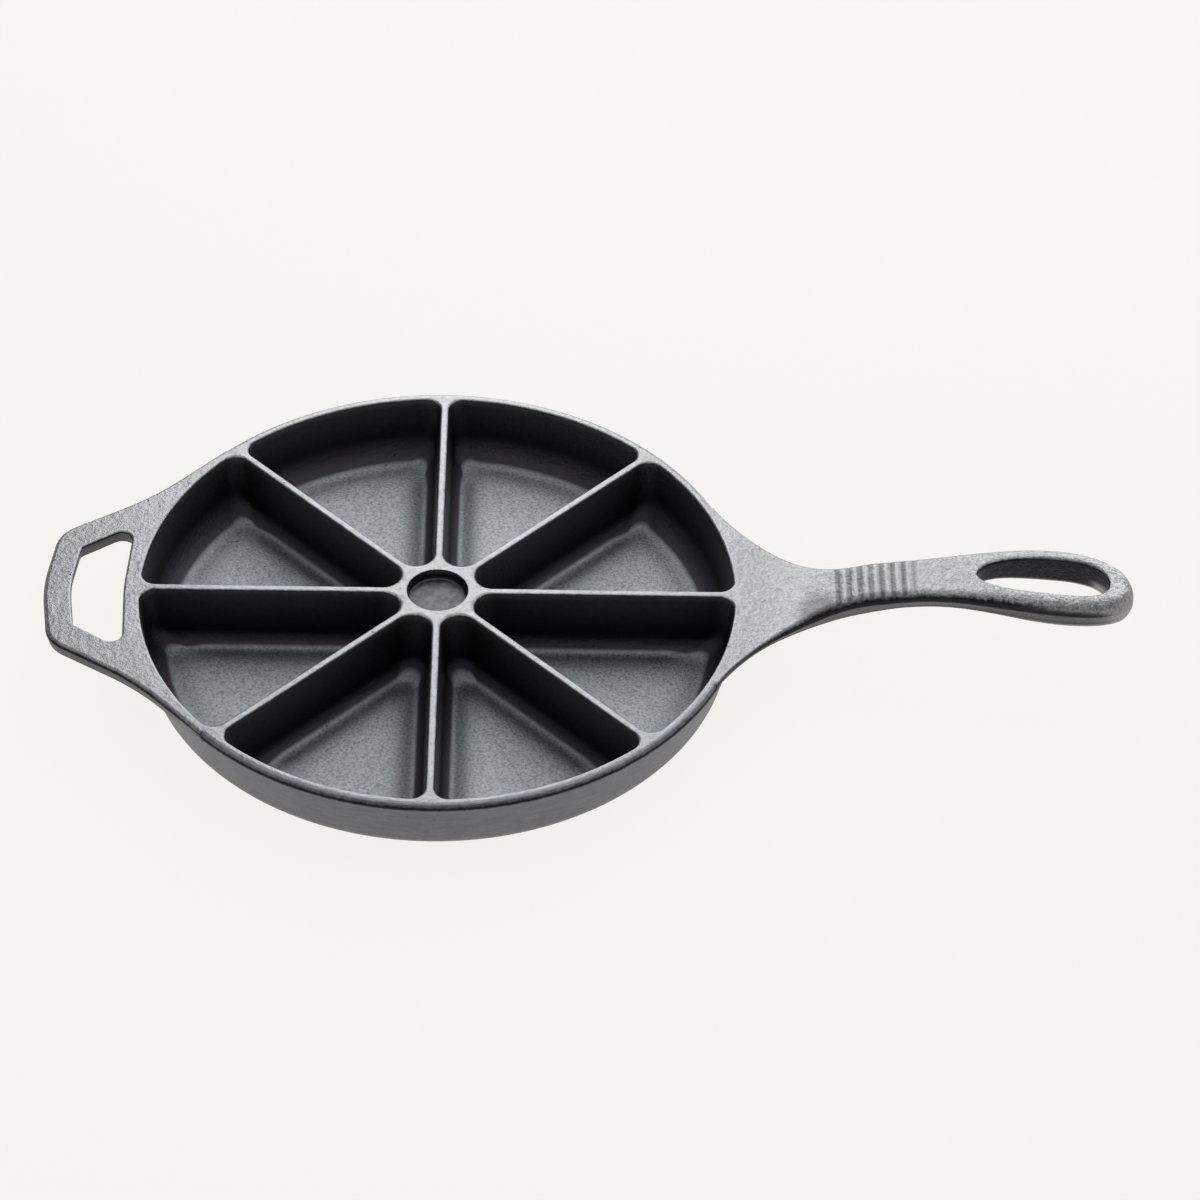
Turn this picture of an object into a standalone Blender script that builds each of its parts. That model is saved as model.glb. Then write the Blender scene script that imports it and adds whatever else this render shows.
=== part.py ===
"""Cornbread skillet: a round cast-iron pan with eight wedge pockets, a long handle and a helper handle.

Metres, +Z up. The origin is the centre of the pan's underside, and the long handle points along +X.
The real skillet is one casting. It is shaped here as one casting and then parted along its natural
lines into a floor, a hub, dividers, arcs of the side wall and the rim, and handles, with a narrow gap
at each seam.
"""

import math

import bmesh
import bpy
from mathutils import Matrix, Vector

# Pan
PAN_HEIGHT = 0.0290
FLOOR_THICKNESS = 0.0040
RIM_RADIUS = 0.1220
LIP_HEIGHT = 0.0030
LIP_OVERHANG = 0.0016
LIP_ROUNDING = 0.0022
WALL_DRAFT = math.radians(12.5)
BASE_ROUNDING = 0.0080

# Pockets, dividers and hub
POCKET_COUNT = 8
RIM_FACE_WIDTH = 0.0043
DIVIDER_TOP_WIDTH = 0.0034
DIVIDER_DRAFT = math.radians(5.0)
DIVIDER_FOOT_RADIUS = 0.0070
POCKET_WALL_DRAFT = math.radians(9.0)
POCKET_WALL_FOOT_RADIUS = 0.0120
POCKET_NOSE_RADIUS = 0.0075
POCKET_NOSE_FLOOR_RADIUS = 0.0040
POCKET_CORNER_RADIUS = 0.0060
POCKET_CORNER_FLOOR_RADIUS = 0.0080
TOP_EDGE_ROUNDING = 0.0010
HUB_RING_WIDTH = 0.0045
HUB_RECESS_DEPTH = 0.0042
HUB_RECESS_DRAFT = math.radians(6.0)

# Long handle
FLARE_ANGLE = math.radians(25.5)
FLARE_LENGTH = 0.0440
FLARE_RIM_PULL = 0.0040
FLARE_NECK_PULL = 0.0280
NECK_WIDTH = 0.0228
NECK_LENGTH = 0.0190
NECK_THICKNESS = 0.0104
NECK_EDGE_ROUNDING = 0.0028
NECK_LOWER_ROUNDING = 0.0016
GRIP_THICKNESS = 0.0088
HANDLE_SIDE_DRAFT = math.radians(10.0)
SPINE_WIDTH = 0.0440
LOOP_LENGTH = 0.0906
LOOP_WIDTH = 0.0372
LOOP_THICKNESS = 0.0152
LOOP_SWELL_DELAY = 0.0100
LOOP_TIP_LENGTH = 0.0296
LOOP_TIP_BLUNTNESS = 2.2
LOOP_TIP_FACE = 0.0001
LOOP_EDGE_ROUNDING = 0.0060
LOOP_LOWER_ROUNDING = 0.0048
HANDLE_RISE = 0.0133
HANDLE_RISE_START = 0.0020
HANDLE_RISE_LENGTH = 0.0990
HANDLE_RISE_EASE = 1.8
TIP_DROP = 0.0058
GROOVE_COUNT = 8
GROOVE_PITCH = 0.0045
GROOVE_WIDTH = 0.0036
GROOVE_DEPTH = 0.0006
FIRST_GROOVE_BEFORE_NECK = 0.0075
HANG_HOLE_LENGTH = 0.0524
HANG_HOLE_END_WALL = 0.0100
HANG_HOLE_SIDE_WALL = 0.0077
HANG_HOLE_END_BLUNTNESS = 10
HANG_HOLE_NECK_BLUNTNESS = 4

# Helper handle
HELPER_ROOT_ANGLE = math.radians(43.3)
HELPER_REACH = 0.0339
HELPER_BEND_INSET = 0.0055
HELPER_BEND_HALF_WIDTH = 0.0543
HELPER_BEND_RADIUS = 0.1150
HELPER_CORNER_SETBACK = 0.0040
HELPER_CORNER_HALF_WIDTH = 0.0316
HELPER_CORNER_RADIUS = 0.0150
HELPER_BOW_RADIUS = 0.0800
HELPER_THICKNESS = 0.0060
HELPER_SWELL_INSIDE_RIM = 0.0170
HELPER_SWELL_LENGTH = 0.0350
HELPER_EDGE_ROUNDING = 0.0015
HELPER_BAR_WIDTH = 0.0107
HELPER_HOLE_HALF_WIDTH = 0.0226
HELPER_HOLE_ROOT_HALF_WIDTH = 0.0364
HELPER_HOLE_ROOT_WALL = 0.0003
HELPER_HOLE_BOW = 0.0019
HELPER_HOLE_BOW_RADIUS = 0.1000
HELPER_HOLE_CORNER_RADIUS = 0.0040
HELPER_HOLE_ROOT_RADIUS = 0.0052

# Seams between the named pieces
SEAM_GAP = 0.0003
FLOOR_PAD = 0.0003
RIM_SEAM_BELOW_LIP = 0.0005
HANDLE_SEAM_OUTSIDE_RIM = 0.0005
STRIP_MARGIN = 0.0010
DIVIDER_END_SETBACK = 0.0017
ROOT_SEAM_BEFORE_GROOVES = 0.0060
LOOP_SEAM_AFTER_GROOVES = 0.0075
HANDLE_ROOT_DEPTH = 0.0026
CUT_MARGIN = 0.0050

# Fineness of the round stretches
TURN_STEPS = 72
ARC_STEPS = 4

IRON_COLOUR = (0.16, 0.16, 0.17, 1.0)
IRON_ROUGHNESS = 0.45
IRON_METALLIC = 0.9

# Places that follow from the sizes above
POCKET_HALF_ANGLE = math.pi / POCKET_COUNT
POCKET_DEPTH = PAN_HEIGHT - FLOOR_THICKNESS
POCKET_RADIUS = RIM_RADIUS - RIM_FACE_WIDTH
ROOT_RADIUS = RIM_RADIUS - HANDLE_ROOT_DEPTH
LIP_BOTTOM = PAN_HEIGHT - LIP_HEIGHT
SKY = PAN_HEIGHT + HANDLE_RISE + CUT_MARGIN
NECK_START = RIM_RADIUS + FLARE_LENGTH
LOOP_START = NECK_START + NECK_LENGTH
HANDLE_TIP = LOOP_START + LOOP_LENGTH
WIDEST_LOOP = HANDLE_TIP - LOOP_TIP_LENGTH
RISE_START = RIM_RADIUS + HANDLE_RISE_START
RISE_TOP = RISE_START + HANDLE_RISE_LENGTH
FIRST_GROOVE = NECK_START - FIRST_GROOVE_BEFORE_NECK
LAST_GROOVE = FIRST_GROOVE + (GROOVE_COUNT - 1) * GROOVE_PITCH
ROOT_SEAM = FIRST_GROOVE - ROOT_SEAM_BEFORE_GROOVES
LOOP_SEAM = LAST_GROOVE + LOOP_SEAM_AFTER_GROOVES
PIECES_FROM = FLOOR_THICKNESS + FLOOR_PAD + SEAM_GAP
RIM_SEAM = LIP_BOTTOM - RIM_SEAM_BELOW_LIP


def smooth(t):
    """A ramp from 0 to 1 that starts and ends level."""
    t = min(max(t, 0.0), 1.0)
    return t * t * (3.0 - 2.0 * t)


def arc(centre, radius, start, end, steps):
    """Points of a circular arc, both ends included."""
    points = []
    for step in range(steps + 1):
        angle = start + (end - start) * step / steps
        points.append((centre[0] + radius * math.cos(angle), centre[1] + radius * math.sin(angle)))
    return points


def circle(radius, steps):
    return arc((0.0, 0.0), radius, 0.0, 2 * math.pi, steps)[:-1]


def cubic(corners, steps):
    """Points of a cubic Bezier curve, both ends included."""
    points = []
    for step in range(steps + 1):
        t = step / steps
        weights = ((1 - t) ** 3, 3 * t * (1 - t) ** 2, 3 * t * t * (1 - t), t ** 3)
        points.append(tuple(sum(w * c[axis] for w, c in zip(weights, corners)) for axis in (0, 1)))
    return points


def rounded_path(corners, steps):
    """An open path through (x, y, radius) corners, with each inner corner turned into an arc."""
    path = [corners[0][:2]]
    for before, corner, after in zip(corners, corners[1:], corners[2:]):
        x, y, radius = corner
        back = math.atan2(before[1] - y, before[0] - x)
        ahead = math.atan2(after[1] - y, after[0] - x)
        turn = (ahead - back + math.pi) % (2 * math.pi) - math.pi
        half = abs(turn) / 2
        middle = back + turn / 2
        away = radius / math.sin(half)
        centre = (x + away * math.cos(middle), y + away * math.sin(middle))
        along = radius / math.tan(half)
        first = math.atan2(y + along * math.sin(back) - centre[1], x + along * math.cos(back) - centre[0])
        sweep = math.copysign(math.pi - abs(turn), -turn)
        path += arc(centre, radius, first, first + sweep, steps)
    path.append(corners[-1][:2])
    return path


def mesh_object(name, shape):
    """Turn a bmesh into an object with its faces pointing outwards."""
    bmesh.ops.recalc_face_normals(shape, faces=shape.faces[:])
    mesh = bpy.data.meshes.new(name)
    shape.to_mesh(mesh)
    shape.free()
    made = bpy.data.objects.new(name, mesh)
    bpy.context.scene.collection.objects.link(made)
    return made


def loft(name, rings):
    """A closed solid through rings of equally many 3-D points, with a flat cap at each end."""
    shape = bmesh.new()
    loops = [[shape.verts.new(point) for point in ring] for ring in rings]
    count = len(rings[0])
    for lower, upper in zip(loops, loops[1:]):
        for i in range(count):
            j = (i + 1) % count
            shape.faces.new((lower[i], lower[j], upper[j], upper[i]))
    shape.faces.new(reversed(loops[0]))
    shape.faces.new(loops[-1])
    return mesh_object(name, shape)


def prism(name, outline, low, high):
    """An upright solid over a plan outline."""
    return loft(name, [[(x, y, z) for x, y in outline] for z in (low, high)])


def block(name, x_low, x_high, half_width, low, high):
    outline = [(x_low, -half_width), (x_high, -half_width), (x_high, half_width), (x_low, half_width)]
    return prism(name, outline, low, high)


def turned(name, profile):
    """A solid turned about Z from (radius, height) points that start and end on the axis."""
    shape = bmesh.new()
    verts = [shape.verts.new((radius, 0.0, height)) for radius, height in profile]
    edges = [shape.edges.new(pair) for pair in zip(verts, verts[1:])]
    centre = Vector((0.0, 0.0, 0.0))
    up = Vector((0.0, 0.0, 1.0))
    bmesh.ops.spin(shape, geom=verts + edges, cent=centre, axis=up, angle=2 * math.pi, steps=TURN_STEPS)
    bmesh.ops.remove_doubles(shape, verts=shape.verts[:], dist=1e-6)
    return mesh_object(name, shape)


def combine(target, tool, operation):
    """Join target with tool, cut it by tool, or keep what both share. The tool is used up."""
    cut = target.modifiers.new("Combine", "BOOLEAN")
    cut.operation = operation
    cut.solver = "EXACT"
    cut.object = tool
    bpy.context.view_layer.update()
    graph = bpy.context.evaluated_depsgraph_get()
    result = bpy.data.meshes.new_from_object(target.evaluated_get(graph))
    target.modifiers.clear()
    target.data = result
    bpy.data.objects.remove(tool, do_unlink=True)
    return target


def pan_blank():
    """The pan before its pockets are sunk: a drafted disc with a lip round its top."""
    wall_top = RIM_RADIUS - LIP_OVERHANG
    base = wall_top - LIP_BOTTOM * math.tan(WALL_DRAFT)
    tangent = BASE_ROUNDING * math.tan((math.pi / 2 - WALL_DRAFT) / 2)
    lip_centre = (RIM_RADIUS - LIP_ROUNDING, PAN_HEIGHT - LIP_ROUNDING)
    profile = [(0.0, 0.0)]
    profile += arc((base - tangent, BASE_ROUNDING), BASE_ROUNDING, -math.pi / 2, -WALL_DRAFT, ARC_STEPS)
    profile += [(wall_top, LIP_BOTTOM), (RIM_RADIUS, LIP_BOTTOM)]
    profile += arc(lip_centre, LIP_ROUNDING, 0.0, math.pi / 2, ARC_STEPS - 1)
    profile.append((0.0, PAN_HEIGHT))
    return turned("pan_blank", profile)


def foot_inset(height, draft, foot_radius):
    """How far a drafted wall with a rounded foot has come in at this height above the pocket floor."""
    rounded = foot_radius * (1 - math.sin(draft))
    if height >= rounded:
        return (POCKET_DEPTH - height) * math.tan(draft)
    straight = (POCKET_DEPTH - rounded) * math.tan(draft)
    below_centre = foot_radius - height
    curved = foot_radius * math.cos(draft) - math.sqrt(foot_radius ** 2 - below_centre ** 2)
    return straight + curved


def foot_reach():
    """Distance from a divider's middle to where its foot meets the pocket floor."""
    return DIVIDER_TOP_WIDTH / 2 + foot_inset(0.0, DIVIDER_DRAFT, DIVIDER_FOOT_RADIUS)


def nose_centre(side_offset, nose):
    return (side_offset + nose) / math.sin(POCKET_HALF_ANGLE)


def pocket_outline(side_offset, outer_radius):
    """Plan outline of one pocket about +X: a round nose, two straight sides and an arc with round corners."""
    grown = (side_offset - DIVIDER_TOP_WIDTH / 2) / (foot_reach() - DIVIDER_TOP_WIDTH / 2)
    nose = POCKET_NOSE_RADIUS + (POCKET_NOSE_FLOOR_RADIUS - POCKET_NOSE_RADIUS) * grown
    corner = POCKET_CORNER_RADIUS + (POCKET_CORNER_FLOOR_RADIUS - POCKET_CORNER_RADIUS) * grown
    away = math.pi / 2 + POCKET_HALF_ANGLE
    points = arc((nose_centre(side_offset, nose), 0.0), nose, 2 * math.pi - away, away, ARC_STEPS + 2)
    reach = outer_radius - corner
    angle = POCKET_HALF_ANGLE - math.asin((side_offset + corner) / reach)
    points += arc((reach * math.cos(angle), reach * math.sin(angle)), corner, away, angle, ARC_STEPS)
    points += arc((0.0, 0.0), outer_radius, angle, -angle, 2 * ARC_STEPS)[1:-1]
    points += arc((reach * math.cos(angle), -reach * math.sin(angle)), corner, -angle, -away, ARC_STEPS)
    return points


def pocket_cutter(angle):
    """The space of one pocket, from its floor to clear above the rim."""
    deepest = max(POCKET_WALL_FOOT_RADIUS, DIVIDER_FOOT_RADIUS)
    heights = [deepest * share for share in (0.0, 0.022, 0.09, 0.2, 0.36, 0.56, 0.85)]
    heights.append(POCKET_DEPTH - TOP_EDGE_ROUNDING)
    levels = []
    for height in heights:
        side = DIVIDER_TOP_WIDTH / 2 + foot_inset(height, DIVIDER_DRAFT, DIVIDER_FOOT_RADIUS)
        outer = POCKET_RADIUS - foot_inset(height, POCKET_WALL_DRAFT, POCKET_WALL_FOOT_RADIUS)
        levels.append((side, outer, FLOOR_THICKNESS + height))
    eased = TOP_EDGE_ROUNDING * (1 - math.sqrt(0.5))
    for widening, z in (
        (eased, PAN_HEIGHT - eased),
        (TOP_EDGE_ROUNDING, PAN_HEIGHT),
        (TOP_EDGE_ROUNDING, PAN_HEIGHT + CUT_MARGIN),
    ):
        levels.append((DIVIDER_TOP_WIDTH / 2 - widening, POCKET_RADIUS + widening, z))
    turn = Matrix.Rotation(angle, 3, "Z")
    rings = [[turn @ Vector((x, y, z)) for x, y in pocket_outline(side, outer)] for side, outer, z in levels]
    return loft("pocket_cutter", rings)


def recess_cutter():
    """The shallow round recess in the top of the hub."""
    nose_tip = nose_centre(DIVIDER_TOP_WIDTH / 2, POCKET_NOSE_RADIUS) - POCKET_NOSE_RADIUS
    rings = []
    for depth in (HUB_RECESS_DEPTH, 0.0, -CUT_MARGIN):
        radius = nose_tip - HUB_RING_WIDTH - max(depth, 0.0) * math.tan(HUB_RECESS_DRAFT)
        rings.append([(x, y, PAN_HEIGHT - depth) for x, y in circle(radius, TURN_STEPS // 2)])
    return loft("recess_cutter", rings)


def flare_curve():
    """(x, half width) along the curved side of the long handle, from the rim to the neck."""
    rim = (RIM_RADIUS * math.cos(FLARE_ANGLE), RIM_RADIUS * math.sin(FLARE_ANGLE))
    along_rim = (rim[0] + FLARE_RIM_PULL, rim[1] - FLARE_RIM_PULL / math.tan(FLARE_ANGLE))
    before_neck = (NECK_START - FLARE_NECK_PULL, NECK_WIDTH / 2)
    return cubic((rim, along_rim, before_neck, (NECK_START, NECK_WIDTH / 2)), 4 * ARC_STEPS)


def handle_half_width(x):
    """Half the long handle's width."""
    if x >= WIDEST_LOOP:
        share = min((x - WIDEST_LOOP) / LOOP_TIP_LENGTH, 1.0)
        return LOOP_WIDTH / 2 * (1 - share ** LOOP_TIP_BLUNTNESS) ** (1 / LOOP_TIP_BLUNTNESS)
    curve = flare_curve()
    for (x_low, half_low), (x_high, half_high) in zip(curve, curve[1:]):
        if x_low <= x < x_high:
            return half_low + (half_high - half_low) * (x - x_low) / (x_high - x_low)
    growth = smooth((x - LOOP_START) / (WIDEST_LOOP - LOOP_START))
    return NECK_WIDTH / 2 + (LOOP_WIDTH - NECK_WIDTH) / 2 * growth


def handle_rise(x):
    """Height of the long handle's top over the rim."""
    if x > RISE_TOP:
        return HANDLE_RISE - TIP_DROP * ((x - RISE_TOP) / (HANDLE_TIP - RISE_TOP)) ** 2
    share = max((x - RISE_START) / HANDLE_RISE_LENGTH, 0.0)
    return HANDLE_RISE * (1 - (1 - share) ** HANDLE_RISE_EASE) * smooth(2 * share)


def flare_share(x):
    return smooth((x - RIM_RADIUS) / FLARE_LENGTH)


def loop_share(x):
    return smooth((x - LOOP_START) / (WIDEST_LOOP - LOOP_START))


def edge_thickness(x):
    """Thickness of the long handle's sides, which is less at the grip than at the neck and the loop."""
    edge = LIP_HEIGHT + (NECK_THICKNESS - LIP_HEIGHT) * flare_share(x)
    edge += (GRIP_THICKNESS - NECK_THICKNESS) * smooth((x - NECK_START) / NECK_LENGTH)
    swell_start = LOOP_START + LOOP_SWELL_DELAY
    return edge + (LOOP_THICKNESS - GRIP_THICKNESS) * smooth((x - swell_start) / (WIDEST_LOOP - swell_start))


def edge_rounding(x, at_rim, at_neck, at_loop):
    return at_rim + (at_neck - at_rim) * flare_share(x) + (at_loop - at_neck) * loop_share(x)


def groove_depth(x):
    """Depth of the grip grooves at this place."""
    nearest = min(max(round((x - FIRST_GROOVE) / GROOVE_PITCH), 0), GROOVE_COUNT - 1)
    away = abs(x - FIRST_GROOVE - nearest * GROOVE_PITCH)
    return GROOVE_DEPTH * smooth(1.5 - 3 * away / GROOVE_WIDTH)


def handle_section(x, half_width):
    """Cross-section of the long handle: a flat top, round edges, and an underside with a central spine."""
    upper = edge_rounding(x, LIP_ROUNDING, NECK_EDGE_ROUNDING, LOOP_EDGE_ROUNDING)
    lower = edge_rounding(x, NECK_LOWER_ROUNDING, NECK_LOWER_ROUNDING, LOOP_LOWER_ROUNDING)
    tip_share = max((x - HANDLE_TIP + upper) / upper, 0.0)
    tip_cut = upper * (1 - math.sqrt(max(1 - tip_share ** 2, 0.0)))
    top = PAN_HEIGHT + handle_rise(x) - groove_depth(x) - tip_cut
    bottom = PAN_HEIGHT + handle_rise(x) - edge_thickness(x) + tip_cut
    upper = min(upper, 0.45 * (top - bottom), 0.9 * half_width)
    lower = min(lower, upper)
    flat = half_width - upper
    drawn_in = (top - bottom) * math.tan(HANDLE_SIDE_DRAFT)
    low_flat = max(half_width - lower - drawn_in, 0.5 * flat)
    spine_depth = (NECK_THICKNESS - LIP_HEIGHT) * (1 - flare_share(x))
    points = arc((flat, top - upper), upper, math.pi / 2, 0.0, ARC_STEPS - 1)
    points += arc((low_flat, bottom + lower), lower, 0.0, -math.pi / 2, ARC_STEPS - 1)
    for share in (0.6, 0.3, 0.1, -0.1, -0.3, -0.6):
        y = share * low_flat
        points.append((y, bottom - spine_depth * smooth(1 - 2 * abs(y) / SPINE_WIDTH)))
    points += arc((-low_flat, bottom + lower), lower, -math.pi / 2, -math.pi, ARC_STEPS - 1)
    points += arc((-flat, top - upper), upper, -math.pi, -1.5 * math.pi, ARC_STEPS - 1)
    return [(x, y, z) for y, z in points]


def long_handle_blank():
    """The long handle before its hole, with its root run into the rim."""
    inside = (ROOT_RADIUS * math.cos(FLARE_ANGLE), ROOT_RADIUS * math.sin(FLARE_ANGLE))
    flare = [station for station in flare_curve() if station[0] < FIRST_GROOVE - GROOVE_WIDTH]
    places = []
    for index in range(GROOVE_COUNT):
        middle = FIRST_GROOVE + index * GROOVE_PITCH
        places += [middle + share * GROOVE_WIDTH for share in (-0.5, -0.18, 0.18, 0.5)]
    start = places[-1]
    steps = 3 * ARC_STEPS
    places += [start + (WIDEST_LOOP - start) * step / steps for step in range(1, steps + 1)]
    tip_steps = 2 * ARC_STEPS
    for step in range(1, tip_steps + 1):
        angle = step / tip_steps * math.pi / 2
        places.append(WIDEST_LOOP + (LOOP_TIP_LENGTH - LOOP_TIP_FACE) * math.sin(angle))
    rings = [handle_section(x, half_width) for x, half_width in [inside] + flare]
    rings += [handle_section(x, handle_half_width(x)) for x in places]
    return loft("long_handle_blank", rings)


def hang_hole_cutter():
    """The teardrop hole near the end of the long handle."""
    high = HANDLE_TIP - HANG_HOLE_END_WALL
    low = high - HANG_HOLE_LENGTH
    steps = 5 * ARC_STEPS
    side = []
    for step in range(steps + 1):
        x = (high + low) / 2 - HANG_HOLE_LENGTH / 2 * math.cos(math.pi * step / steps)
        share = 2 * (x - low) / HANG_HOLE_LENGTH - 1
        blunt = HANG_HOLE_END_BLUNTNESS if share > 0 else HANG_HOLE_NECK_BLUNTNESS
        closing = math.sqrt(max(1 - share ** blunt, 0.0))
        side.append((x, (handle_half_width(x) - HANG_HOLE_SIDE_WALL) * closing))
    mirrored = [(x, -y) for x, y in reversed(side[1:-1])]
    return prism("hang_hole_cutter", side + mirrored, 0.0, SKY)


def helper_blank():
    """The helper handle before its hole: a plate in the rim's plane that thickens towards its grip bar."""
    root = (-RIM_RADIUS * math.cos(HELPER_ROOT_ANGLE), RIM_RADIUS * math.sin(HELPER_ROOT_ANGLE), 0.0)
    bend = (-RIM_RADIUS + HELPER_BEND_INSET, HELPER_BEND_HALF_WIDTH, HELPER_BEND_RADIUS)
    end = -RIM_RADIUS - HELPER_REACH
    corner = (end + HELPER_CORNER_SETBACK, HELPER_CORNER_HALF_WIDTH, HELPER_CORNER_RADIUS)
    mirrored = [(x, -y, radius) for x, y, radius in (corner, bend, root)]
    outline = rounded_path([root, bend, corner, (end, 0.0, HELPER_BOW_RADIUS)] + mirrored, ARC_STEPS)
    lower = math.pi + HELPER_ROOT_ANGLE
    upper = math.pi - HELPER_ROOT_ANGLE
    outline += arc((0.0, 0.0), ROOT_RADIUS, lower, upper, 4 * ARC_STEPS)
    plate = prism("helper_blank", outline, LIP_BOTTOM, PAN_HEIGHT)
    shape = bmesh.new()
    shape.from_mesh(plate.data)
    thin = -RIM_RADIUS + HELPER_SWELL_INSIDE_RIM
    thick = thin - HELPER_SWELL_LENGTH
    for share in (0.0, 0.2, 0.4, 0.6, 0.8, 1.0):
        everything = shape.verts[:] + shape.edges[:] + shape.faces[:]
        place = Vector((thin + (thick - thin) * share, 0.0, 0.0))
        bmesh.ops.bisect_plane(shape, geom=everything, plane_co=place, plane_no=Vector((1.0, 0.0, 0.0)))
    for vert in shape.verts:
        if vert.co.z < PAN_HEIGHT - LIP_HEIGHT / 2:
            vert.co.z -= (HELPER_THICKNESS - LIP_HEIGHT) * smooth((vert.co.x - thin) / (thick - thin))
    shape.to_mesh(plate.data)
    shape.free()
    rounding = plate.modifiers.new("Edge rounding", "BEVEL")
    rounding.width = HELPER_EDGE_ROUNDING
    rounding.segments = 2
    rounding.limit_method = "ANGLE"
    rounding.angle_limit = math.radians(50)
    return plate


def helper_hole_cutter():
    """The finger opening between the helper handle's bar and the rim."""
    far = -RIM_RADIUS - HELPER_REACH + HELPER_BAR_WIDTH
    near = -RIM_RADIUS - HELPER_HOLE_ROOT_WALL
    corner = far + HELPER_CORNER_SETBACK * HELPER_HOLE_HALF_WIDTH / HELPER_CORNER_HALF_WIDTH
    corners = [
        (far, 0.0, HELPER_BOW_RADIUS),
        (corner, HELPER_HOLE_HALF_WIDTH, HELPER_HOLE_CORNER_RADIUS),
        (near, HELPER_HOLE_ROOT_HALF_WIDTH, HELPER_HOLE_ROOT_RADIUS),
        (near - HELPER_HOLE_BOW, 0.0, HELPER_HOLE_BOW_RADIUS),
        (near, -HELPER_HOLE_ROOT_HALF_WIDTH, HELPER_HOLE_ROOT_RADIUS),
        (corner, -HELPER_HOLE_HALF_WIDTH, HELPER_HOLE_CORNER_RADIUS),
    ]
    outline = rounded_path([corners[-1]] + corners + [corners[0]], ARC_STEPS)[1:-1]
    return prism("helper_hole_cutter", outline, 0.0, SKY)


def whole_casting():
    """The skillet as one solid."""
    casting = pan_blank()
    for blank in (long_handle_blank(), helper_blank()):
        combine(casting, blank, "UNION")
    for cutter in (hang_hole_cutter(), helper_hole_cutter(), recess_cutter()):
        combine(casting, cutter, "DIFFERENCE")
    for index in range(POCKET_COUNT):
        combine(casting, pocket_cutter((2 * index + 1) * POCKET_HALF_ANGLE), "DIFFERENCE")
    return casting


def strip_half_width():
    return foot_reach() + STRIP_MARGIN


def hub_half_width():
    """Distance from the axis to the hub's seam with each divider."""
    return strip_half_width() / math.tan(POCKET_HALF_ANGLE)


def divider_end():
    """Distance from the axis to the seam at each divider's outer end."""
    return POCKET_RADIUS - POCKET_CORNER_RADIUS - DIVIDER_END_SETBACK


def hub_region():
    corner = hub_half_width() / math.cos(POCKET_HALF_ANGLE)
    outline = arc((0.0, 0.0), corner, POCKET_HALF_ANGLE, POCKET_HALF_ANGLE + 2 * math.pi, POCKET_COUNT)[:-1]
    return prism("hub_region", outline, PIECES_FROM, SKY)


def divider_region(index):
    start = hub_half_width() + SEAM_GAP
    region = block("divider_region", start, divider_end(), strip_half_width(), PIECES_FROM, SKY)
    region.data.transform(Matrix.Rotation(2 * index * POCKET_HALF_ANGLE, 4, "Z"))
    return region


def wheel_region():
    """Hub and dividers together, one seam gap wider, which leaves the side wall and the rim."""
    half = strip_half_width() + SEAM_GAP
    end = divider_end() + SEAM_GAP
    outline = []
    for index in range(POCKET_COUNT):
        turn = Matrix.Rotation(2 * index * POCKET_HALF_ANGLE, 2)
        valley = half / math.sin(POCKET_HALF_ANGLE)
        between = (valley * math.cos(POCKET_HALF_ANGLE), valley * math.sin(POCKET_HALF_ANGLE))
        for point in ((end, -half), (end, half), between):
            outline.append(tuple(turn @ Vector(point)))
    return prism("wheel_region", outline, -CUT_MARGIN, SKY)


def sector_region(index):
    """The sector about one divider, from the middle of one pocket to the middle of the next."""
    apex = SEAM_GAP / 2 / math.sin(POCKET_HALF_ANGLE)
    reach = RIM_RADIUS + CUT_MARGIN
    spread = (reach - apex) * math.tan(POCKET_HALF_ANGLE)
    region = prism("sector_region", [(apex, 0.0), (reach, -spread), (reach, spread)], -CUT_MARGIN, SKY)
    region.data.transform(Matrix.Rotation(2 * index * POCKET_HALF_ANGLE, 4, "Z"))
    return region


def part_off(casting, name, keep, remove=None):
    """The piece of the casting inside one region and outside another."""
    piece = bpy.data.objects.new(name, casting.data.copy())
    bpy.context.scene.collection.objects.link(piece)
    if remove:
        combine(piece, remove, "DIFFERENCE")
    combine(piece, keep, "INTERSECT")
    piece.data.name = name
    return piece


def parted(casting):
    """The casting's named pieces."""
    outer = RIM_RADIUS + HANDLE_SEAM_OUTSIDE_RIM
    reach = HANDLE_TIP + CUT_MARGIN
    floor = block("slab", -reach, reach, reach, -CUT_MARGIN, FLOOR_THICKNESS + FLOOR_PAD)
    pieces = [part_off(casting, "pan_floor", floor), part_off(casting, "hub", hub_region())]
    for index in range(POCKET_COUNT):
        pieces.append(part_off(casting, f"divider_{index + 1}", divider_region(index)))
    for name, low, high in (("side_wall", PIECES_FROM, RIM_SEAM - SEAM_GAP), ("rim", RIM_SEAM, SKY)):
        ring = part_off(casting, name, prism("ring", circle(outer, TURN_STEPS), low, high), wheel_region())
        for index in range(POCKET_COUNT):
            pieces.append(part_off(ring, f"{name}_{index + 1}", sector_region(index)))
        bpy.data.objects.remove(ring, do_unlink=True)
    for name, low, high in (
        ("helper_handle", -reach, 0.0),
        ("long_handle_root", 0.0, ROOT_SEAM),
        ("long_handle_grip", ROOT_SEAM + SEAM_GAP, LOOP_SEAM),
        ("hanging_loop", LOOP_SEAM + SEAM_GAP, reach),
    ):
        disc = prism("disc", circle(outer + SEAM_GAP, TURN_STEPS), -CUT_MARGIN, SKY)
        pieces.append(part_off(casting, name, block("slab", low, high, reach, -CUT_MARGIN, SKY), disc))
    bpy.data.objects.remove(casting, do_unlink=True)
    return pieces


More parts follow.
